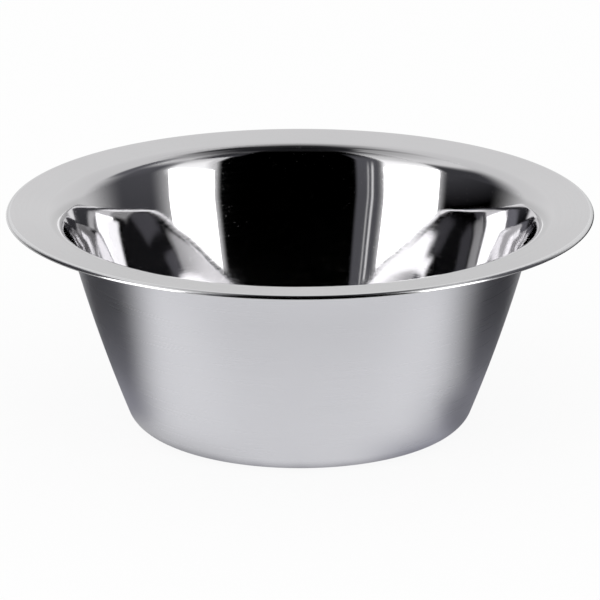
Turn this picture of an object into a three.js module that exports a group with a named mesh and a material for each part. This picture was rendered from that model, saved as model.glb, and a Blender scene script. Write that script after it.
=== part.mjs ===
// A round feeding bowl pressed from one sheet of stainless steel: flat floor, flared wall that opens into a
// neck, shoulder, wide flange and folded edge. Millimetres and degrees, +Z up, origin under the floor.
import * as THREE from 'three';

// Sizes of the bowl
const flangeDiameter = 210; // across the folded edge
const rimHeight = 79; // from the table to the top of the folded edge
const flangeWidth = 19.9; // from the folded edge in to the wall, carried up to the rim height
const footDiameter = 120.8; // outside of the wall, carried down to the table
const wallBulge = 1.55; // how far the wall stands out from a straight line between foot and mouth
const footBendRadius = 8; // outside of the bend between floor and wall
const neckDrop = 19; // how far below the rim the wall stops bulging and starts to flare
const neckRadius = 85; // upper side of the flare between wall and shoulder
const shoulderRadius = 8; // upper side of the bend between neck and flange
const flangeClimb = 6; // slope of the flange, rising towards its edge
const sheetThickness = 0.6;
const hemGap = 0.36; // space left between the flange and the sheet folded under it
const hemLength = 3; // straight stretch of the folded sheet

// Facets: around the axis, and along each bend of the profile
const facetsAround = 72;
const footBendSteps = 6;
const wallSteps = 6;
const neckSteps = 4;
const shoulderSteps = 7;
const foldSteps = 8;

// A profile is drawn in the plane of radius (x) and height (y)
const point = (radius, height) => new THREE.Vector2(radius, height);
const direction = (angle) => point(Math.cos(angle), Math.sin(angle));
const along = (start, angle, distance) => start.clone().addScaledVector(direction(angle), distance);
const bearing = (from, to) => Math.atan2(to.y - from.y, to.x - from.x);

// The outside of the wall is an arc through the foot and the mouth, centred far beyond the axis
const foot = point(footDiameter / 2, 0);
const mouth = point(flangeDiameter / 2 - flangeWidth, rimHeight);
const halfChord = foot.distanceTo(mouth) / 2;
const wallRadius = (halfChord ** 2 + wallBulge ** 2) / (2 * wallBulge);
const chordMiddle = foot.clone().lerp(mouth, 0.5);
const towardsAxis = bearing(foot, mouth) + Math.PI / 2;
const wallCentre = along(chordMiddle, towardsAxis, wallRadius - wallBulge);

// The foot bend touches the table and the wall's arc from inside
const footReach = wallRadius - footBendRadius;
const footDrop = footBendRadius - wallCentre.y;
const footCentre = point(wallCentre.x + Math.sqrt(footReach ** 2 - footDrop ** 2), footBendRadius);
const wallStartAngle = bearing(wallCentre, footCentre);

// The neck carries on from the inside of the wall and curves the other way
const wallInnerRadius = wallRadius - sheetThickness;
const neckStartAngle = Math.asin((rimHeight - neckDrop - wallCentre.y) / wallInnerRadius);
const neckStart = along(wallCentre, neckStartAngle, wallInnerRadius);
const neckCentre = along(neckStart, neckStartAngle, neckRadius);

// The fold is half a turn whose outermost point gives the diameter and whose highest point gives the height
const flangeAngle = THREE.MathUtils.degToRad(flangeClimb);
const flangeNormal = flangeAngle + Math.PI / 2;
const foldInnerRadius = hemGap / 2;
const foldOuterRadius = foldInnerRadius + sheetThickness;
const foldCentre = point(flangeDiameter / 2 - foldOuterRadius, rimHeight - foldOuterRadius);

// The shoulder touches the upper sides of the neck and of the flange
const belowFlange = along(foldCentre, flangeNormal, foldOuterRadius - shoulderRadius);
const shoulderReach = neckRadius - shoulderRadius;
const offset = belowFlange.clone().sub(neckCentre);
const alongFlange = offset.dot(direction(flangeAngle));
const acrossFlange = offset.dot(direction(flangeNormal));
const shoulderCentre = along(
  belowFlange,
  flangeAngle,
  -Math.sqrt(shoulderReach ** 2 - acrossFlange ** 2) - alongFlange
);
const neckEndAngle = bearing(neckCentre, shoulderCentre);

// A station is one place along the sheet: its point on the underside and its point on the upper side
const station = (under, upper) => ({ under, upper });

// Stations along a bend, from one angle to another, with the sheet between two radii
function bend(centre, underRadius, upperRadius, startAngle, endAngle, steps) {
  const stations = [];
  for (let step = 0; step <= steps; step += 1) {
    const angle = THREE.MathUtils.lerp(startAngle, endAngle, step / steps);
    stations.push(station(along(centre, angle, underRadius), along(centre, angle, upperRadius)));
  }
  return stations;
}

const last = (stations) => stations[stations.length - 1];

// The zones of the sheet from the axis outwards; each one starts at the station where the last one ended
const axisStation = station(point(0, 0), point(0, sheetThickness));
const footBend = bend(
  footCentre,
  footBendRadius,
  footBendRadius - sheetThickness,
  -Math.PI / 2,
  wallStartAngle,
  footBendSteps
);
const wall = bend(
  wallCentre,
  wallRadius,
  wallInnerRadius,
  wallStartAngle,
  neckStartAngle,
  wallSteps
);
const neck = bend(
  neckCentre,
  neckRadius - sheetThickness,
  neckRadius,
  neckStartAngle + Math.PI,
  neckEndAngle,
  neckSteps
);
const shoulder = bend(
  shoulderCentre,
  shoulderRadius - sheetThickness,
  shoulderRadius,
  neckEndAngle,
  flangeNormal,
  shoulderSteps
);
const fold = bend(
  foldCentre,
  foldInnerRadius,
  foldOuterRadius,
  flangeNormal,
  flangeNormal - Math.PI,
  foldSteps
);
const hemEnd = station(
  along(last(fold).under, flangeAngle + Math.PI, hemLength),
  along(last(fold).upper, flangeAngle + Math.PI, hemLength)
);

const floorZone = [axisStation, footBend[0]];
const wallZone = [...footBend, ...wall.slice(1), ...neck.slice(1)];
const flangeZone = [last(neck), ...shoulder.slice(1), fold[0]];
const edgeZone = [...fold, hemEnd];

// Turns a zone's outline, underside first and back along the upper side, about the axis
function turnedSolid(zone) {
  const underside = zone.map((place) => place.under);
  const upperSide = zone.map((place) => place.upper).reverse();
  const outline = [...underside, ...upperSide];
  const startsOnAxis = outline[0].x === 0;
  if (!startsOnAxis) {
    outline.push(outline[0].clone());
  }
  const geometry = new THREE.LatheGeometry(outline, facetsAround);
  geometry.rotateX(Math.PI / 2);
  return geometry;
}

const satinSteel = { color: 0xb9bbbe, roughness: 0.35, metalness: 1 };
const polishedSteel = { color: 0xcfd0d2, roughness: 0.08, metalness: 1 };

function sheetZone(name, zone, finish) {
  const mesh = new THREE.Mesh(turnedSolid(zone), new THREE.MeshStandardMaterial(finish));
  mesh.name = name;
  return mesh;
}

const bowl = new THREE.Group();
bowl.add(sheetZone('floor', floorZone, satinSteel));
bowl.add(sheetZone('side_wall', wallZone, satinSteel));
bowl.add(sheetZone('flange', flangeZone, polishedSteel));
bowl.add(sheetZone('rolled_edge', edgeZone, polishedSteel));

export default bowl;
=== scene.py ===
# %% [markdown]
# # A pressed steel feeding bowl
# The bowl in the photograph is one disc of stainless steel. A press gives it a flat floor, a flared
# wall, a shoulder and a wide flange, and the cut edge is folded under so that it can't scratch. This
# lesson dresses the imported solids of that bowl: one finely turned sheet stands in their place, with a
# mirror polish inside and a satin finish outside.

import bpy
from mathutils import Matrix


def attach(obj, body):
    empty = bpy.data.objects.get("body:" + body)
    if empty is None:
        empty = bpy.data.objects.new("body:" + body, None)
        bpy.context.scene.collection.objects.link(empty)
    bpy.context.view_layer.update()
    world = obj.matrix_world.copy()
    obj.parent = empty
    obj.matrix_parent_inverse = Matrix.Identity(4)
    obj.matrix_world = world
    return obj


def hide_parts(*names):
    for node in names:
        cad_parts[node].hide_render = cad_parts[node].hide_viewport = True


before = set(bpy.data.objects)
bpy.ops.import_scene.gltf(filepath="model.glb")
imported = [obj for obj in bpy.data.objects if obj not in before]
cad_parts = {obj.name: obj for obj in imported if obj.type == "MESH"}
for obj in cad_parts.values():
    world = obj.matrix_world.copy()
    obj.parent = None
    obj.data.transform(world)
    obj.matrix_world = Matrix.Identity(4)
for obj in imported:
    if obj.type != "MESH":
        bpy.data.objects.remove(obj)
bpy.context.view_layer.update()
print("solids in the frame:", sorted(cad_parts))

# %% [markdown]
# ## Sizes of the sheet
# The solids already have the bowl's real sizes, so the sheet is drawn again from the same numbers and
# not fitted by eye. They could be read off the solids' corners, but those mark only a few points of each
# curve. The numbers themselves give every point of it.

# %% Sizes in metres
import math

MM = 0.001
flange_diameter = 210 * MM
rim_height = 79 * MM
flange_width = 19.9 * MM  # from the edge in to the wall, carried up to the rim height
foot_diameter = 120.8 * MM  # outside of the wall, carried down to the table
wall_bulge = 1.55 * MM
foot_bend_radius = 8 * MM  # outside of the bend
neck_drop = 19 * MM  # how far below the rim the wall starts to flare
neck_radius = 85 * MM  # upper side of the flare
shoulder_radius = 8 * MM  # upper side of the bend
flange_climb = math.radians(6)
sheet_thickness = 0.6 * MM
hem_gap = 0.36 * MM
hem_length = 3 * MM
print("the bowl is", round(flange_diameter / rim_height, 2), "times as wide as it is high")

# %% [markdown]
# ## The profile of the sheet
# Cut through its axis, the bowl is a thin line: floor, foot bend, bulging wall, flaring neck, shoulder,
# flange and fold. A free curve could be pulled along the photograph's outline, but it would hold no
# size. Here each bend is an arc that touches its neighbours, so the polished steel has no kink where a
# reflection would break. Two small helpers step about in the plane of radius and height.

# %% Steps in the plane of the profile
from mathutils import Vector

ORIGIN = Vector((0, 0))


def along(start, angle, distance):
    """The point at a distance from start, in the plane of radius and height."""
    return Vector((start.x + distance * math.cos(angle), start.y + distance * math.sin(angle)))


def bearing(start, end):
    """The angle of the line from start to end."""
    return math.atan2(end.y - start.y, end.x - start.x)


foot = Vector((foot_diameter / 2, 0))
mouth = Vector((flange_diameter / 2 - flange_width, rim_height))
print("the wall leans out by", round(90 - math.degrees(bearing(foot, mouth)), 1), "degrees")

# %% [markdown]
# ## The wall and the foot
# The wall isn't a straight cone: it bulges by a millimetre and a half between the foot and the mouth. An
# arc through these two points gives the bulge. The bend at the foot is a small arc that touches the
# table and the wall from inside, so its centre lies one bend radius above the table.

# %% Centres of the wall and of the foot bend
half_chord = (mouth - foot).length / 2
wall_radius = (half_chord**2 + wall_bulge**2) / (2 * wall_bulge)
towards_axis = bearing(foot, mouth) + math.pi / 2
wall_centre = along((foot + mouth) / 2, towards_axis, wall_radius - wall_bulge)

foot_reach = wall_radius - foot_bend_radius
foot_drop = foot_bend_radius - wall_centre.y
foot_run = math.sqrt(foot_reach**2 - foot_drop**2)
foot_centre = Vector((wall_centre.x + foot_run, foot_bend_radius))
wall_start = bearing(wall_centre, foot_centre)
print("radius of the wall's bulge, mm:", round(wall_radius / MM, 1))

# %% [markdown]
# ## The neck and the fold
# Some way below the rim the wall stops bulging and curves the other way, into a neck that opens towards
# the flange. At the far end of the flange the sheet is folded under by half a turn, around a narrow gap.

# %% Centres of the neck and of the fold
wall_inner = wall_radius - sheet_thickness
wall_end = math.asin((rim_height - neck_drop - wall_centre.y) / wall_inner)
neck_centre = along(wall_centre, wall_end, wall_inner + neck_radius)

fold_inner = hem_gap / 2
fold_outer = fold_inner + sheet_thickness
flange_normal = flange_climb + math.pi / 2
fold_centre = Vector((flange_diameter / 2 - fold_outer, rim_height - fold_outer))
print("the folded edge is", round(2 * fold_outer / MM, 2), "mm high")

# %% [markdown]
# ## The shoulder
# The shoulder leads from the neck into the flange, and its arc has to touch both. So its centre lies one
# shoulder radius under the flange, and as far from the neck's centre as the two radii differ.

# %% Centre of the shoulder
below_flange = along(fold_centre, flange_normal, fold_outer - shoulder_radius)
shoulder_reach = neck_radius - shoulder_radius
offset = below_flange - neck_centre
along_flange = offset.dot(along(ORIGIN, flange_climb, 1))
across_flange = offset.dot(along(ORIGIN, flange_normal, 1))
shoulder_run = -math.sqrt(shoulder_reach**2 - across_flange**2) - along_flange
shoulder_centre = along(below_flange, flange_climb, shoulder_run)
neck_end = bearing(neck_centre, shoulder_centre)
print("turn of the shoulder, degrees:", round(math.degrees(neck_end - flange_normal), 1))

# %% [markdown]
# ## Both sides of the sheet
# The underside and the upper side follow the same four bends, with radii that differ by the thickness.
# Short straight steps stand for the arcs. On a mirror such steps show long before they show in the
# outline, so there are many of them.

# %% Underside and upper side
FOOT_STEPS = 24
WALL_STEPS = 24
NECK_STEPS = 16
SHOULDER_STEPS = 36


def arc(centre, radius, first_angle, last_angle, steps):
    """Points along an arc, both ends among them."""
    turn = (last_angle - first_angle) / steps
    return [along(centre, first_angle + turn * step, radius) for step in range(steps + 1)]


def sheet_side(foot_side, wall_side, neck_side, shoulder_side):
    """One side of the sheet from the flat of the floor to the flange, given its radius in each bend."""
    line = arc(foot_centre, foot_side, -math.pi / 2, wall_start, FOOT_STEPS)
    line += arc(wall_centre, wall_side, wall_start, wall_end, WALL_STEPS)[1:]
    line += arc(neck_centre, neck_side, wall_end + math.pi, neck_end, NECK_STEPS)[1:]
    line += arc(shoulder_centre, shoulder_side, neck_end, flange_normal, SHOULDER_STEPS)[1:]
    return line


neck_under = neck_radius - sheet_thickness
shoulder_under = shoulder_radius - sheet_thickness
foot_upper = foot_bend_radius - sheet_thickness
under_side = sheet_side(foot_bend_radius, wall_radius, neck_under, shoulder_under)
upper_side = sheet_side(foot_upper, wall_inner, neck_radius, shoulder_radius)
print("each side of the sheet has", len(under_side), "points between floor and flange")

# %% [markdown]
# ## The folded edge
# In the photograph the edge is rounded widely above and tightly below, so its outside isn't one half
# circle but two arcs that touch. The tight radius follows from the height of the edge and from where the
# two meet. Inside, the sheet turns evenly around the gap. Under the flange it ends in a short straight
# hem.

# %% The two rounds of the edge
EDGE_STEPS = 28
wide_round = 1.4 * MM
meeting_lift = math.radians(6)  # the two rounds meet this far above the slope of the flange
meeting_angle = flange_climb + meeting_lift
lift_sine = math.sin(meeting_lift)
tight_round = (2 * fold_outer - wide_round * (1 - lift_sine)) / (1 + lift_sine)

edge_top = along(fold_centre, flange_normal, fold_outer)
wide_top = along(ORIGIN, flange_normal, wide_round)
meeting = along(ORIGIN, meeting_angle, wide_round - tight_round)
edge_reach = flange_diameter / 2 - tight_round
edge_run = (edge_reach - meeting.x - edge_top.x + wide_top.x) / math.cos(flange_climb)
wide_centre = along(edge_top, flange_climb, edge_run) - wide_top
tight_centre = wide_centre + meeting
print("the edge is rounded by", wide_round / MM, "mm above and", round(tight_round / MM, 2), "mm below")

# %% The fold and its hem
fold_end = flange_normal - math.pi
fold_under = arc(fold_centre, fold_inner, flange_normal, fold_end, EDGE_STEPS)
fold_over = arc(tight_centre, tight_round, fold_end, meeting_angle, EDGE_STEPS // 2)
fold_over += arc(wide_centre, wide_round, meeting_angle, flange_normal, EDGE_STEPS)[1:]
hem_top = along(fold_under[-1], flange_climb + math.pi, hem_length)
hem_bottom = along(fold_over[0], flange_climb + math.pi, hem_length)
print("the hem ends", round((flange_diameter / 2 - hem_bottom.x) / MM, 2), "mm inside the edge")

# %% [markdown]
# ## From the axis out and back
# The line starts on the axis under the floor, runs out along the underside, round the fold, and back
# along the upper side to the axis. Turned about the axis, it closes into a solid sheet with a real
# thickness. Every stretch of the line carries the name of its finish: satin below, bright on the folded
# edge and the flange, mirror inside.

# %% Stretches of the line
FLANGE_STEPS = 8
FLOOR_STEPS = 10
axis_bottom = Vector((0, 0))
axis_top = Vector((0, sheet_thickness))


def straight(first, last, steps):
    """Points along a straight line, both ends among them."""
    return [first.lerp(last, step / steps) for step in range(steps + 1)]


stretches = [
    ("satin", straight(axis_bottom, under_side[0], FLOOR_STEPS)),
    ("satin", under_side),
    ("satin", straight(under_side[-1], fold_under[0], FLANGE_STEPS)),
    ("edge", fold_under + [hem_top]),
    ("edge", [hem_top, hem_bottom]),
    ("edge", [hem_bottom] + fold_over),
    ("flange", straight(fold_over[-1], upper_side[-1], FLANGE_STEPS)),
    ("mirror", upper_side[::-1]),
    ("mirror", straight(upper_side[0], axis_top, FLOOR_STEPS)),
]
for finish_name, line in stretches:
    print(finish_name, "stretch of", len(line), "points, ends at mm", [round(x / MM, 2) for x in line[-1]])

# %% [markdown]
# ## Rings of the sheet
# A point of the line, turned about the axis, gives a ring of corners, and faces span from each ring to
# the next. A Screw modifier could turn the line, but here the rings are made one by one, so that each
# face knows its finish. Where the line meets the axis, the ring shrinks to one corner.

# %% Rings and the faces between them
import bmesh

FACETS = 288


def ring_of(builder, place):
    """One ring of the sheet, or a single corner where the line meets the axis."""
    if place.x == 0:
        return [builder.verts.new((0, 0, place.y))]
    ring = []
    for facet in range(FACETS):
        turn = 2 * math.pi * facet / FACETS
        ring.append(builder.verts.new((place.x * math.cos(turn), place.x * math.sin(turn), place.y)))
    return ring


def span(builder, ring, next_ring, finish_index):
    """The faces between two rings."""
    for facet in range(FACETS):
        after = (facet + 1) % FACETS
        corners = [ring[facet % len(ring)], ring[after % len(ring)]]
        corners += [next_ring[after % len(next_ring)], next_ring[facet % len(next_ring)]]
        face = builder.faces.new(list(dict.fromkeys(corners)))
        face.material_index = finish_index
        face.smooth = True


print("a facet at the edge is", round(math.pi * flange_diameter / FACETS / MM, 2), "mm wide")

# %% [markdown]
# ## The sheet as one piece
# The real bowl is one sheet, so the whole line is turned into one mesh. It rides on the bowl's only body
# and stands in the place of all four solids. An open edge would be a slit in the steel, so open edges
# are counted.

# %% The turned sheet
import bpy

FINISH_ORDER = ["satin", "edge", "flange", "mirror"]


def turned_sheet(name):
    """All stretches of the line, turned about the axis into one object."""
    builder = bmesh.new()
    first_line = stretches[0][1]
    ring = ring_of(builder, first_line[0])
    for finish_name, line in stretches:
        finish_index = FINISH_ORDER.index(finish_name)
        for place in line[1:]:
            next_ring = ring_of(builder, place)
            span(builder, ring, next_ring, finish_index)
            ring = next_ring
    bmesh.ops.recalc_face_normals(builder, faces=builder.faces)
    open_edges = [edge for edge in builder.edges if not edge.is_manifold]
    print(name, "has", len(builder.faces), "faces and", len(open_edges), "open edges")
    mesh = bpy.data.meshes.new(name)
    builder.to_mesh(mesh)
    builder.free()
    sheet = bpy.data.objects.new(name, mesh)
    bpy.context.scene.collection.objects.link(sheet)
    return sheet


bowl_sheet = turned_sheet("bowl_sheet")
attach(bowl_sheet, "root")
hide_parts("floor", "side_wall", "flange", "rolled_edge")

# %% [markdown]
# ## A helper for finishes
# A finish in Blender is a small network of nodes. Writing each link out takes many lines, so one helper
# adds a node and fills its sockets: with a plain value, or with the output of another node. The sheet
# then gets four bare metals, in the order in which its faces count them. The next steps give each one
# its detail.

# %% Four bare metals
def add_node(tree, kind, inputs, **choices):
    """A new node: inputs are plain values or other nodes' outputs, choices are the node's own settings."""
    made = tree.nodes.new("ShaderNode" + kind)
    for choice, value in choices.items():
        setattr(made, choice, value)
    for key, value in inputs.items():
        socket = made.inputs[key]
        if isinstance(value, bpy.types.NodeSocket):
            tree.links.new(value, socket)
        else:
            socket.default_value = value
    return made


def bare_steel(name):
    """A metal without detail yet: its node tree and its shader."""
    finish = bpy.data.materials.new(name)
    finish.use_nodes = True
    shader = finish.node_tree.nodes["Principled BSDF"]
    shader.inputs["Metallic"].default_value = 1.0
    bowl_sheet.data.materials.append(finish)
    print("finish", len(bowl_sheet.data.materials) - 1, "is", name)
    return finish.node_tree, shader


satin_steel = bare_steel("satin_outside")
edge_steel = bare_steel("bright_edge")
flange_steel = bare_steel("bright_flange")
mirror_steel = bare_steel("mirror_inside")

# %% [markdown]
# ## Lines around the bowl
# The bowl spins while it is ground and polished, so every mark on it runs around the axis. A noise
# pattern stretched around the axis gives such marks. It needs two measures at each point: the direction
# from the axis, and the way along the sheet, for which radius plus height serves, since both grow from
# the floor to the edge.

# %% Marks that run around the axis
def sheet_place(tree):
    """The point itself, its direction from the axis, and its way along the sheet."""
    point = add_node(tree, "TexCoord", {}).outputs["Object"]
    level = add_node(tree, "VectorMath", {0: point, 1: (1, 1, 0)}, operation="MULTIPLY").outputs["Vector"]
    radius = add_node(tree, "VectorMath", {0: level}, operation="LENGTH").outputs["Value"]
    outwards = add_node(tree, "VectorMath", {0: level}, operation="NORMALIZE").outputs["Vector"]
    height = add_node(tree, "SeparateXYZ", {0: point}).outputs["Z"]
    way = add_node(tree, "Math", {0: radius, 1: height}, operation="ADD").outputs["Value"]
    return point, outwards, way


def lines_around(tree, outwards, way, turn, width):
    """Noise drawn out into lines: turn is about how far round one runs, in radians, width is in metres."""
    across = add_node(tree, "Math", {0: way, 1: 1 / width}, operation="MULTIPLY").outputs["Value"]
    upwards = add_node(tree, "CombineXYZ", {"Z": across}).outputs["Vector"]
    stretch = (1 / turn, 1 / turn, 1 / turn)
    lines = add_node(tree, "VectorMath", {0: outwards, 1: stretch, 2: upwards}, operation="MULTIPLY_ADD")
    noise = add_node(tree, "TexNoise", {"Vector": lines.outputs["Vector"], "Scale": 1.0, "Detail": 3.0})
    return noise.outputs["Fac"]


print("the way along the sheet ends at", round((flange_diameter / 2 + rim_height) / MM, 1), "mm")

# %% [markdown]
# ## Tone, haze and depth
# The four finishes are built alike. The colour drifts between two close tones in soft clouds, so that no
# area looks painted. The roughness follows the lines, because a mark scatters more light than the metal
# beside it. The same lines tilt the surface a little. Modelling them as geometry would take millions of
# faces, so a bump does it.

# %% What the finishes share
NOISE_LOW = 0.3
NOISE_HIGH = 0.7  # a noise pattern seldom leaves the range between these two
FIRST_COLOUR = 6  # places of the colour sockets on a Mix node
SECOND_COLOUR = 7
MIXED_COLOUR = 2
MARK_DEPTH = 0.002 * MM


def between(tree, pattern, low, high, at_low=NOISE_LOW, at_high=NOISE_HIGH):
    """A number that goes from low to high as the pattern goes from at_low to at_high."""
    limits = {"Value": pattern, "From Min": at_low, "From Max": at_high, "To Min": low, "To Max": high}
    return add_node(tree, "MapRange", limits).outputs["Result"]


def cloudy_tone(tree, shader, point, scale, tones):
    """Lets the colour drift between two tones, in clouds."""
    clouds = add_node(tree, "TexNoise", {"Vector": point, "Scale": scale, "Detail": 2.0}).outputs["Fac"]
    colours = {"Factor": clouds, FIRST_COLOUR: tones[0], SECOND_COLOUR: tones[1]}
    mixed = add_node(tree, "Mix", colours, data_type="RGBA")
    tree.links.new(mixed.outputs[MIXED_COLOUR], shader.inputs["Base Color"])


def raised_marks(tree, shader, marks, strength, ground=None):
    """Lets the marks stand out, on the plain sheet or on a ground that is already bumped."""
    inputs = {"Height": marks, "Strength": strength, "Distance": MARK_DEPTH}
    if ground is not None:
        inputs["Normal"] = ground
    bump = add_node(tree, "Bump", inputs)
    tree.links.new(bump.outputs["Normal"], shader.inputs["Normal"])


print("marks stand out by at most", round(1000 * MARK_DEPTH / MM, 1), "thousandths of a millimetre")

# %% [markdown]
# ## The satin outside
# The outside is ground with a belt while the bowl spins, and left matt. The fine grooves run around, so
# a reflection is smeared up and down and stays fairly sharp from side to side. Blender's metal has a
# setting for that, anisotropy, with a direction from the Tangent node.

# %% Satin steel
SATIN_TONES = ((0.60, 0.60, 0.63, 1), (0.64, 0.64, 0.67, 1))
SATIN_ROUGHNESS = (0.27, 0.33)
SATIN_SMEAR = 0.75
QUARTER_TURN = 0.25  # lays the smear across the grooves


def finish_satin(tree, shader):
    """Grooves around the axis, and a shine that is smeared across them."""
    point, outwards, way = sheet_place(tree)
    grooves = lines_around(tree, outwards, way, turn=0.5, width=0.3 * MM)
    cloudy_tone(tree, shader, point, scale=22.0, tones=SATIN_TONES)
    tree.links.new(between(tree, grooves, *SATIN_ROUGHNESS), shader.inputs["Roughness"])
    raised_marks(tree, shader, grooves, strength=0.12)
    tangent = add_node(tree, "Tangent", {}, direction_type="RADIAL", axis="Z")
    tree.links.new(tangent.outputs["Tangent"], shader.inputs["Tangent"])
    shader.inputs["Anisotropic"].default_value = SATIN_SMEAR
    shader.inputs["Anisotropic Rotation"].default_value = QUARTER_TURN


finish_satin(*satin_steel)
print("satin roughness:", SATIN_ROUGHNESS, "smear:", SATIN_SMEAR)

# %% [markdown]
# ## The bright edge and flange
# The folded edge and the flange are polished next, with a soft wheel. They shine, but a wheel leaves a
# light haze, so their reflections have soft borders. The flange has the same tone as the inside, since
# both are the same polished side of the sheet.

# %% Bright steel
EDGE_TONES = ((0.59, 0.59, 0.60, 1), (0.62, 0.62, 0.63, 1))
POLISHED_TONES = ((0.51, 0.505, 0.515, 1), (0.55, 0.545, 0.555, 1))
EDGE_ROUGHNESS = (0.08, 0.16)
FLANGE_ROUGHNESS = (0.10, 0.18)


def finish_bright(tree, shader, tones, roughness):
    """Soft lines from the wheel under an even shine."""
    point, outwards, way = sheet_place(tree)
    lines = lines_around(tree, outwards, way, turn=0.8, width=0.6 * MM)
    cloudy_tone(tree, shader, point, scale=30.0, tones=tones)
    tree.links.new(between(tree, lines, *roughness), shader.inputs["Roughness"])
    raised_marks(tree, shader, lines, strength=0.3)


finish_bright(*edge_steel, EDGE_TONES, EDGE_ROUGHNESS)
finish_bright(*flange_steel, POLISHED_TONES, FLANGE_ROUGHNESS)
print("roughness of the edge:", EDGE_ROUGHNESS, "of the flange:", FLANGE_ROUGHNESS)

# %% [markdown]
# ## Specks on the mirror
# Small specks lie on the polished inside, and they show where the reflection is dark. Scattered dots of
# geometry would be too fine for the mesh. A Voronoi pattern divides the space into cells, each with a
# distance from its middle and a random colour. The distance makes the speck, and the colour picks which
# cells keep theirs.

# %% Specks
SPECK_SCALE = 900.0
SPECK_CORE = 0.08  # a speck is full within this distance of the cell's middle
SPECK_RIM = 0.22  # and gone beyond this one
SPECK_LIMIT = 0.8  # about one cell in five keeps its speck


def specks_at(tree, point):
    """1 in the middle of a speck, 0 beside it."""
    cells = add_node(tree, "TexVoronoi", {"Vector": point, "Scale": SPECK_SCALE})
    speck = between(tree, cells.outputs["Distance"], 1.0, 0.0, SPECK_CORE, SPECK_RIM)
    chosen = add_node(tree, "SeparateColor", {0: cells.outputs["Color"]}).outputs["Red"]
    kept = add_node(tree, "Math", {0: chosen, 1: SPECK_LIMIT}, operation="GREATER_THAN").outputs["Value"]
    return add_node(tree, "Math", {0: speck, 1: kept}, operation="MULTIPLY").outputs["Value"]


print("a speck is at most", round(2 * SPECK_RIM / SPECK_SCALE / MM, 2), "mm across")

# %% [markdown]
# ## The mirror inside
# The inside is buffed to a mirror, as in the photograph, where it shows the studio with sharp borders.
# Close up, faint lines from the buff stay, and the thin sheet is slightly wavy, so that straight things
# look a little crooked in it. The waves are a wide, shallow bump, and the lines lie on top of it.

# %% Mirror steel
MIRROR_ROUGHNESS = (0.025, 0.06)
SPECK_ROUGHNESS = 0.17  # what a speck adds
SPECK_METAL = 0.97  # a speck is a little less metallic than the steel
WAVE_SCALE = 45.0
WAVE_DEPTH = 0.05 * MM


def finish_mirror(tree, shader):
    """A near mirror with waves, faint lines and specks."""
    point, outwards, way = sheet_place(tree)
    lines = lines_around(tree, outwards, way, turn=0.3, width=0.8 * MM)
    specks = specks_at(tree, point)
    haze = between(tree, lines, *MIRROR_ROUGHNESS)
    dusty = add_node(tree, "Math", {0: specks, 1: SPECK_ROUGHNESS, 2: haze}, operation="MULTIPLY_ADD")
    tree.links.new(dusty.outputs["Value"], shader.inputs["Roughness"])
    tree.links.new(between(tree, specks, 1.0, SPECK_METAL, 0.0, 1.0), shader.inputs["Metallic"])
    cloudy_tone(tree, shader, point, scale=25.0, tones=POLISHED_TONES)
    waves = add_node(tree, "TexNoise", {"Vector": point, "Scale": WAVE_SCALE, "Detail": 1.0}).outputs["Fac"]
    wavy = add_node(tree, "Bump", {"Height": waves, "Strength": 1.0, "Distance": WAVE_DEPTH})
    raised_marks(tree, shader, lines, strength=0.3, ground=wavy.outputs["Normal"])


finish_mirror(*mirror_steel)
print("mirror roughness:", MIRROR_ROUGHNESS, "waves about", round(1 / WAVE_SCALE / MM), "mm long")

# %% [markdown]
# ## Light that is only seen
# The photograph has a plain white background. A white floor under plain light is only light grey, and
# more light would make the bowl too bright. So the stage glows for the camera and for what the steel
# reflects, and not for the rays that carry light to the bowl. The Light Path node tells these rays
# apart.

# %% Rays that see a glow
SEEING_RAYS = ["Is Camera Ray", "Is Glossy Ray", "Is Transmission Ray"]


def seen_directly(tree):
    """1 for rays from the camera, from a reflection or through glass, 0 for rays that only carry light."""
    path = add_node(tree, "LightPath", {})
    seen = path.outputs[SEEING_RAYS[0]]
    for ray in SEEING_RAYS[1:]:
        seen = add_node(tree, "Math", {0: seen, 1: path.outputs[ray]}, operation="MAXIMUM").outputs["Value"]
    return seen


def stage_material(name):
    """A material without a shader yet, whose glow is seen but not used as a lamp."""
    material = bpy.data.materials.new(name)
    material.use_nodes = True
    material.cycles.emission_sampling = "NONE"
    material.node_tree.nodes.remove(material.node_tree.nodes["Principled BSDF"])
    return material


print("rays that see a glow:", SEEING_RAYS)

# %% [markdown]
# ## The white floor
# Most of the floor's look is its glow, which makes it white. The rest is matt and takes the light, so
# the floor keeps the bowl's soft shadow. A floor that only glows would let the bowl float.

# %% White floor
FLOOR_HALF = 6.0
FLOOR_GLOW = 0.9
FLOOR_COLOUR = (0.9, 0.9, 0.9, 1)
WHITE = (1, 1, 1, 1)


def stage_mesh(name, corners, faces, material):
    """A mesh that belongs to the stage and not to the bowl."""
    mesh = bpy.data.meshes.new(name)
    mesh.from_pydata(corners, [], faces)
    mesh.materials.append(material)
    made = bpy.data.objects.new(name, mesh)
    bpy.context.scene.collection.objects.link(made)
    return made


def white_floor(reach):
    """A square floor, partly glowing and partly matt."""
    material = stage_material("white_floor")
    tree = material.node_tree
    matt = add_node(tree, "BsdfDiffuse", {"Color": FLOOR_COLOUR})
    glow = add_node(tree, "Emission", {"Color": WHITE, "Strength": 1.0})
    share = add_node(tree, "Math", {0: seen_directly(tree), 1: FLOOR_GLOW}, operation="MULTIPLY")
    shaders = {0: share.outputs["Value"], 1: matt.outputs["BSDF"], 2: glow.outputs["Emission"]}
    mixed = add_node(tree, "MixShader", shaders)
    tree.links.new(mixed.outputs["Shader"], tree.nodes["Material Output"].inputs["Surface"])
    corners = [(-reach, -reach, 0), (reach, -reach, 0), (reach, reach, 0), (-reach, reach, 0)]
    stage_mesh("floor_plane", corners, [(0, 1, 2, 3)], material)


white_floor(FLOOR_HALF)
print("floor", 2 * FLOOR_HALF, "m wide, glow", FLOOR_GLOW)

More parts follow.
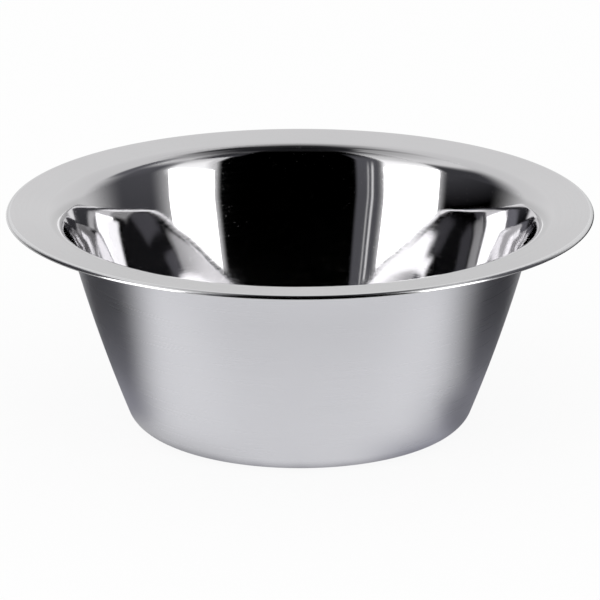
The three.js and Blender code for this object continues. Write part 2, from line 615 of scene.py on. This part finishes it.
# %% [markdown]
# ## The white room
# The room is the world around the scene. It is white to look at, and as a light it has a plain soft
# level, so the steel's colours render about as they are written.

# %% White room
ROOM_LIGHT = 0.9


def white_room():
    """A world that looks white and lights at a plain level."""
    room = bpy.data.worlds.new("white_room")
    room.use_nodes = True
    room.cycles.sampling_method = "NONE"
    tree = room.node_tree
    strength = between(tree, seen_directly(tree), ROOM_LIGHT, 1.0, 0.0, 1.0)
    background = tree.nodes["Background"]
    background.inputs["Color"].default_value = WHITE
    tree.links.new(strength, background.inputs["Strength"])
    bpy.context.scene.world = room


white_room()
print("the room lights at", ROOM_LIGHT, "of what it looks like")

# %% [markdown]
# ## Two softboxes
# The two white strips inside the bowl are the reflections of two large softboxes, one on each side and a
# little towards the camera. An area lamp is such a box. Its brightness is its power over its area and
# over pi, so the power is worked out from the brightness that the strips need. Directions are azimuths,
# clockwise from straight behind the bowl, so the camera is at 180 degrees.

# %% Lamps left and right
SOFTBOX_DISTANCE = 2.2
SOFTBOX_BRIGHTNESS = 3.0
AIM_HEIGHT = 0.07  # close to the middle of the bowl's mouth


def direction(azimuth):
    """The level direction at an azimuth in degrees."""
    return Vector((math.sin(math.radians(azimuth)), math.cos(math.radians(azimuth)), 0))


def softbox(name, azimuths, elevations):
    """An area lamp that fills the view between two azimuths and two elevations, in degrees."""
    outwards = direction((azimuths[0] + azimuths[1]) / 2)
    lamp = bpy.data.lights.new(name, "AREA")
    lamp.shape = "RECTANGLE"
    lamp.size = 2 * SOFTBOX_DISTANCE * math.tan(math.radians(azimuths[1] - azimuths[0]) / 2)
    bottom = SOFTBOX_DISTANCE * math.tan(math.radians(elevations[0]))
    top = SOFTBOX_DISTANCE * math.tan(math.radians(elevations[1]))
    lamp.size_y = top - bottom
    lamp.energy = SOFTBOX_BRIGHTNESS * math.pi * lamp.size * lamp.size_y
    made = bpy.data.objects.new(name, lamp)
    made.location = outwards * SOFTBOX_DISTANCE + Vector((0, 0, AIM_HEIGHT + (bottom + top) / 2))
    made.rotation_euler = outwards.to_track_quat("Z", "Y").to_euler()
    made.visible_camera = False
    bpy.context.scene.collection.objects.link(made)
    print(name, "is", round(lamp.size, 2), "by", round(lamp.size_y, 2), "m,", round(lamp.energy, 2), "W")


softbox("softbox_right", azimuths=(107, 133.5), elevations=(-1, 27))
softbox("softbox_left", azimuths=(225.8, 258), elevations=(-1, 29))

# %% [markdown]
# ## Cards with soft borders
# Steel in a white room looks like white paper. Photographers stand dark cards around it, out of sight,
# and the steel shows them as the dark shapes that make it read as metal. A card could have hard edges,
# but the bowl in the photograph fades from light to dark, so these fade out along their borders. A
# card's material reads azimuth and height from the card's UV map. It multiplies one fade for each border
# and is clear where the product is 0. A card that stays clear until the second or third reflection has
# one fade more, on the count of reflections.

# %% How a card looks
DARK_CLOTH = (0.9, 0.9, 1.0, 1)  # a dark cloth looks bluish under daylight lamps
DARK_LIMIT = 0.5  # a card that glows less than this is dark cloth
HALF_COUNT = 0.5  # the fade on the count lies between two whole numbers


def fade(tree, measure, edge, softness):
    """From 0 before the edge to 1 behind it; a negative softness turns that round."""
    limits = {"Value": measure, "From Min": edge - softness / 2, "From Max": edge + softness / 2}
    return add_node(tree, "MapRange", limits, interpolation_type="SMOOTHSTEP").outputs["Result"]


def card_cover(tree, around, up, azimuths, heights, side_softness, height_softness, reflections):
    """1 on the card, 0 beyond its borders and before its first reflection."""
    borders = [
        fade(tree, around, azimuths[0], side_softness[0]),
        fade(tree, around, azimuths[1], -side_softness[1]),
        fade(tree, up, heights[0], height_softness[0]),
        fade(tree, up, heights[1], -height_softness[1]),
    ]
    if reflections > 1:
        count = add_node(tree, "LightPath", {}).outputs["Glossy Depth"]
        borders.append(fade(tree, count, reflections - HALF_COUNT, HALF_COUNT))
    cover = borders[0]
    for border in borders[1:]:
        cover = add_node(tree, "Math", {0: cover, 1: border}, operation="MULTIPLY").outputs["Value"]
    return cover


print("cards darker than", DARK_LIMIT, "are of cloth coloured", DARK_CLOTH[:3])

# %% [markdown]
# ## The glow of a card
# A card is given one glow, or two glows at two heights with a slow change between them. The shader mixes
# that glow with a clear material, by the cover of the step before.

# %% A card's material
def card_glow(tree, up, glow):
    """The colour and the strength of a card; glow is one number, or two pairs of height and number."""
    if isinstance(glow, float):
        low_glow = glow
        strength = glow
    else:
        (low, low_glow), (high, high_glow) = glow
        strength = between(tree, up, low_glow, high_glow, low, high)
    colour = DARK_CLOTH if low_glow < DARK_LIMIT else WHITE
    return {"Color": colour, "Strength": strength}


def card_material(name, glow, *borders):
    """A glow that is clear beyond the borders."""
    material = stage_material(name)
    tree = material.node_tree
    measures = add_node(tree, "SeparateXYZ", {0: add_node(tree, "UVMap", {}).outputs["UV"]})
    around = measures.outputs["X"]
    up = measures.outputs["Y"]
    cover = card_cover(tree, around, up, *borders)
    shine = add_node(tree, "Emission", card_glow(tree, up, glow))
    clear = add_node(tree, "BsdfTransparent", {})
    mixed = add_node(tree, "MixShader", {0: cover, 1: clear.outputs["BSDF"], 2: shine.outputs["Emission"]})
    tree.links.new(mixed.outputs["Shader"], tree.nodes["Material Output"].inputs["Surface"])
    return material


print("materials before the cards:", len(bpy.data.materials))

# %% [markdown]
# ## A card as a mesh
# A card is a grid that bends with the place where it stands, and each corner of the grid keeps its
# azimuth and its height in the UV map. A plane with a picture of soft borders would do too, but a
# picture has to be stored somewhere. All cards share one plan of faces.

# %% A card's grid
CARD_STEPS = 24
COLUMN = CARD_STEPS + 1
card_faces = []
for step in range(CARD_STEPS):
    for level in range(CARD_STEPS):
        here = step * COLUMN + level
        card_faces.append((here, here + 1, here + COLUMN + 1, here + COLUMN))


def evenly(limits, softness):
    """Steps from the outer end of the first soft border to the outer end of the last one."""
    first = limits[0] - softness[0] / 2
    last = limits[1] + softness[1] / 2
    return [first + (last - first) * (step / CARD_STEPS) for step in range(COLUMN)]


print("a card has", len(card_faces), "faces")

# %% [markdown]
# ## The first card
# The large cards are pieces of a dome around the bowl, and their heights are angles above the horizon.
# Only reflections see them: the camera, the shadows and the light don't. The first one hangs overhead and
# is dark. Steel that looks up shows it, as the dark line along the top of the inside.

# %% A dark card overhead
def on_dome(distance):
    """Places at a distance from the middle of the bowl's mouth, by azimuth and elevation in degrees."""
    def place(azimuth, elevation):
        lift = math.radians(elevation)
        reach = direction(azimuth) * math.cos(lift) + Vector((0, 0, math.sin(lift)))
        return reach * distance + Vector((0, 0, AIM_HEIGHT))

    return place


def soft_card(name, place, azimuths, heights, side_softness, height_softness, glow, reflections=1):
    """A card between two azimuths and two heights; place turns these two measures into a point."""
    borders = (azimuths, heights, side_softness, height_softness, reflections)
    levels = evenly(heights, height_softness)
    measures = [(azimuth, height) for azimuth in evenly(azimuths, side_softness) for height in levels]
    corners = [place(*measure) for measure in measures]
    card = stage_mesh(name, corners, card_faces, card_material(name, glow, *borders))
    uv_map = card.data.uv_layers.new(name="measures")
    for corner in card.data.loops:
        uv_map.data[corner.index].uv = measures[corner.vertex_index]
    card.visible_camera = False
    card.visible_diffuse = False
    card.visible_transmission = False
    card.visible_volume_scatter = False
    card.visible_shadow = False
    print(name, "from", azimuths[0], "to", azimuths[1], "degrees, glow", glow)


overhead_looks = ((0, 360), (64, 90), (1, 1), (26, 1), ((64, 0.06), (90, 0.01)))
soft_card("card_overhead", on_dome(3.0), *overhead_looks)

# %% [markdown]
# ## Cards around the bowl
# These cards make the large shapes of the first reflections inside: dark on the left and the right
# behind, black on the camera's side, and a light strip above each softbox, which lets it fade out
# upwards. A light grey backdrop tones down the back of the flange. Where two cards cross, the nearer one
# covers the other.

# %% The room's cards
# name, distance in metres, azimuths, elevations, softness of the sides, softness below and above, glow
room_cards = [
    ("card_backdrop", 2.95, (310, 410), (-6, 12), (40, 40), (4, 12), 0.82),
    ("card_left_back", 2.9, (259, 310), (0, 46), (8, 36), (4, 18), ((8, 0.0), (21, 0.08))),
    ("card_right_back", 2.8, (60, 105), (0, 49), (36, 19), (4, 16), ((0, 0.08), (49, 0.18))),
    ("card_above_left", 2.75, (225, 257), (25, 46), (4, 8), (4, 20), ((28, 1.9), (46, 1.3))),
    ("card_above_right", 2.75, (107, 130.5), (23, 46), (8, 7), (4, 20), ((26, 1.8), (46, 1.2))),
    ("card_camera_side", 2.7, (135.4, 223.6), (-4, 78), (4.4, 6.5), (4, 18), 0.0),
]
for card_name, distance, *looks in room_cards:
    soft_card(card_name, on_dome(distance), *looks)

# %% [markdown]
# ## A streak and two lines
# Near the right end of the black middle, the photograph shows a grey streak with two thin light lines.
# Scratches could look like that, but these follow the wall from top to bottom as a reflection does. So
# they are cards too, in front of the black one.

# %% Cards of the streak
streak_cards = [
    ("card_grey_streak", 2.6, (210.5, 223.6), (0, 50), (2.5, 6), (4, 30), ((0, 0.13), (50, 0.17))),
    ("card_faint_line", 2.5, (216.4, 217.2), (0, 30), (1, 1), (4, 6), 0.75),
    ("card_light_line", 2.5, (218.7, 219.8), (0, 30), (1, 1), (4, 6), 1.15),
]
for card_name, distance, *looks in streak_cards:
    soft_card(card_name, on_dome(distance), *looks)

# %% [markdown]
# ## The line under the rim
# Where the wall bends over into the flange, the steel looks steeply up. In the photograph that line is
# dark behind and on the right, and lighter on the left. Five cards high up give it these tones.

# %% Cards of the rim
rim_cards = [
    ("card_top_right", 2.6, (107, 140), (52, 70), (24, 8), (8, 10), ((52, 0.1), (70, 0.03))),
    ("card_rim_right", 2.78, (53, 72), (36, 60), (10, 16), (10, 14), 0.2),
    ("card_rim_back", 2.92, (16, 46), (63, 76), (14, 18), (8, 8), ((57, 0.05), (74, 0.03))),
    ("card_rim_middle", 2.93, (346, 376), (54, 76), (10, 12), (20, 8), ((60, 0.55), (72, 0.04))),
    ("card_rim_left", 2.66, (256, 316), (47, 76.5), (8, 16), (8, 4), ((55, 1.1), (75, 0.5))),
]
for card_name, distance, *looks in rim_cards:
    soft_card(card_name, on_dome(distance), *looks)

# %% [markdown]
# ## Second reflections
# Low on the left and the right, the wall shows itself: what the camera sees there has met the steel
# twice. A card for these places would also show in the first reflections elsewhere. So these cards stay
# clear until the second reflection. No real card can do that. It is a trick of this stage, and the
# bowl's finish doesn't depend on it.

# %% Far cards of the second reflection
second_cards = [
    ("card_second_top", 2.4, (98, 262), (60, 80), (10, 10), (8, 8), 3.3),
    ("card_second_right", 2.35, (98, 152), (36, 66), (10, 8), (6, 10), 2.6),
    ("card_second_left", 2.3, (216, 262), (42, 60), (24, 10), (8, 6), 3.2),
]
for card_name, distance, *looks in second_cards:
    soft_card(card_name, on_dome(distance), *looks, reflections=2)

# %% [markdown]
# ## Cards close to the rim
# Far cards stand in the same directions for both low sides, because the bowl is small against their
# distance. In the photograph the two sides differ. Cards on a small dome, just outside the rim, stand in
# other directions for the left than for the right, so each side can have its own. The first two are the
# dark ground of the two sides. The next six make the narrow light and grey stripes at their outer ends,
# three on each side.

# %% Dark ground and stripes
near_stripes = [
    ("near_dark_right", 0.138, (118, 170), (16, 50), (8, 10), (8, 6), 0.02),
    ("near_dark_left", 0.138, (196, 228), (22, 48), (6, 8), (8, 4), 0.01),
    ("near_back_right", 0.137, (22, 33), (6, 30), (8, 4), (6, 6), 1.9),
    ("near_side_right", 0.137, (60, 70.5), (4, 27), (8, 6), (4, 6), 1.2),
    ("near_side_left", 0.137, (292, 310), (5, 28), (8, 10), (6, 6), 0.45),
    ("near_back_left", 0.137, (331, 352), (5, 30), (8, 8), (6, 6), 1.7),
    ("near_inner_right", 0.136, (92, 111), (8, 24), (6, 6), (6, 5), 3.3),
    ("near_inner_left", 0.136, (239, 251), (12, 28), (6, 5), (6, 5), ((12, 1.1), (28, 0.6))),
]
for card_name, distance, *looks in near_stripes:
    soft_card(card_name, on_dome(distance), *looks, reflections=2)

# %% [markdown]
# ## Greys and whites of the low sides
# In the photograph the dark ground isn't black all over, and it ends in bright patches. Five grey cards
# lift the ground where it is lighter, four white ones make the patches, and the last one draws a dark
# line.

# %% Greys and whites close to the rim
near_tones = [
    ("near_dim_left", 0.135, (222, 236), (20, 31), (6, 6), (6, 5), 0.14),
    ("near_haze_right", 0.135, (92, 119), (30, 42), (8, 8), (5, 6), 0.75),
    ("near_grey_right", 0.134, (118, 147), (35.5, 49), (10, 6), (5, 4), 0.2),
    ("near_grey_middle", 0.134, (163, 180), (42, 52), (5, 4), (5, 4), 0.24),
    ("near_grey_left", 0.134, (200, 224), (42, 51), (6, 6), (5, 4), 0.13),
    ("near_light", 0.133, (146, 187), (52.5, 72), (8, 8), (4, 6), ((53, 1.0), (65, 2.4))),
    ("near_white", 0.132, (181, 195), (43.5, 70), (6, 8), (4, 8), 3.9),
    ("near_white_top", 0.131, (187, 213), (50.5, 72), (4, 6), (5, 8), 3.9),
    ("near_white_end", 0.1305, (209, 236), (53.5, 72), (4, 8), (4, 8), 3.9),
    ("near_line_high", 0.1345, (258, 271), (37.5, 46), (5, 4), (4, 4), 0.02),
]
for card_name, distance, *looks in near_tones:
    soft_card(card_name, on_dome(distance), *looks, reflections=2)

# %% [markdown]
# ## Third reflections
# At the very ends of the low sides the light has met the steel three times and has lost most of its
# strength. Two bright cards and two bands, clear until the third reflection, bring the light of these
# ends back.

# %% Cards of the third reflection
third_cards = [
    ("third_right", 0.13, (104, 124), (24, 36), (6, 6), (5, 6), 5.0),
    ("third_left", 0.13, (242, 278), (8, 34), (6, 6), (6, 6), 5.0),
    ("third_band_right", 0.1295, (62, 104), (15.5, 25.5), (8, 8), (4, 4), 0.7),
    ("third_band_left", 0.1295, (250, 298), (17, 27), (6, 6), (4, 4), 2.0),
]
for card_name, distance, *looks in third_cards:
    soft_card(card_name, on_dome(distance), *looks, reflections=3)

# %% [markdown]
# ## Dark flanks
# The outside of the wall leans over the floor and shows it. Cards on the floor, left and right of the
# bowl, make its flanks dark. Without them it would melt into the white background. On the floor a card's
# heights are distances from the bowl's axis, in millimetres, and each card lies a fraction of a
# millimetre up.

# %% Cards on the floor beside the bowl
def on_floor(lift):
    """Places on the floor, by azimuth in degrees and distance from the axis in millimetres."""
    def place(azimuth, distance):
        return direction(azimuth) * distance * MM + Vector((0, 0, lift * MM))

    return place


# name, lift in millimetres, azimuths, distances, softness of the sides, softness near and far, glow
flank_cards = [
    ("card_floor_left", 0.3, (254, 328), (58, 400), (30, 70), (30, 120), ((60, 0.3), (140, 0.05))),
    ("card_floor_right", 0.3, (32, 105.5), (52, 480), (70, 36), (30, 120), ((60, 0.27), (140, 0.055))),
]
for card_name, lift, *looks in flank_cards:
    soft_card(card_name, on_floor(lift), *looks)

# %% [markdown]
# ## The lip on the right and the floor in front
# The folded edge looks out over the floor to the horizon. On the right it is dark in the photograph, so
# a dark card lies on the far floor there, and a low one stands behind it. The floor in front is a little
# dimmer than white, which keeps the front of the wall grey.

# %% Cards of the lip and of the front
lip_floor_looks = ((22, 100), (380, 2400), (24, 20), (120, 300), 0.03)
lip_low_looks = ((25, 80), (-1, 2), (24, 20), (2, 3), 0.03)
front_looks = ((130, 230), (125, 500), (40, 40), (60, 100), 0.85)
soft_card("card_lip_floor", on_floor(0.2), *lip_floor_looks)
soft_card("card_lip_low", on_dome(2.77), *lip_low_looks)
soft_card("card_floor_front", on_floor(0.25), *front_looks)

# %% [markdown]
# ## The foot
# The bend at the foot looks down at the floor close by, which lies in the bowl's own shade. A floor that
# glows for reflections shows hardly any shade, so grey cards around the foot put it back. The last is a
# narrow ring where the bowl meets the floor.

# %% Cards around the foot
foot_cards = [
    ("card_foot_back", 0.35, (248, 484), (50, 82), (36, 36), (4, 26), 0.35),
    ("card_foot_left", 0.4, (204, 262), (45, 66), (30, 20), (2, 16), 0.6),
    ("card_foot_right", 0.45, (92, 152), (45, 68), (20, 30), (2, 16), 0.45),
    ("card_foot_side", 0.48, (70, 115), (55, 84), (30, 20), (10, 14), 0.25),
    ("card_foot_line", 0.5, (0, 360), (40, 60), (1, 1), (2, 10), 0.3),
]
for card_name, lift, *looks in foot_cards:
    soft_card(card_name, on_floor(lift), *looks)

# %% [markdown]
# ## The camera
# The photograph was taken from a little above with a long lens, so the bowl hardly narrows towards the
# back. A camera could be moved by eye until the picture looks right. Here its place and its lens come
# from fitting the rim, the wall and the base of these solids to the outline in the photograph.

# %% Camera at the photograph's place
SENSOR_WIDTH = 36  # mm
LENS_LENGTH = 238.8  # mm
CAMERA_DISTANCE = 1.365  # metres in front of the bowl's axis
CAMERA_HEIGHT = 0.4859
LOOK_DOWN = 17.95  # degrees below the horizon
FARTHEST_VIEW = 100

camera_data = bpy.data.cameras.new("camera")
camera_data.sensor_width = SENSOR_WIDTH
camera_data.lens = LENS_LENGTH
camera_data.clip_end = FARTHEST_VIEW
camera = bpy.data.objects.new("camera", camera_data)
camera.location = (0, -CAMERA_DISTANCE, CAMERA_HEIGHT)
camera.rotation_euler = (math.radians(90 - LOOK_DOWN), 0, 0)
bpy.context.scene.collection.objects.link(camera)
bpy.context.scene.camera = camera
bpy.context.scene.view_settings.view_transform = "Standard"
print("camera", round(camera.location.length, 3), "m from the bowl's base")
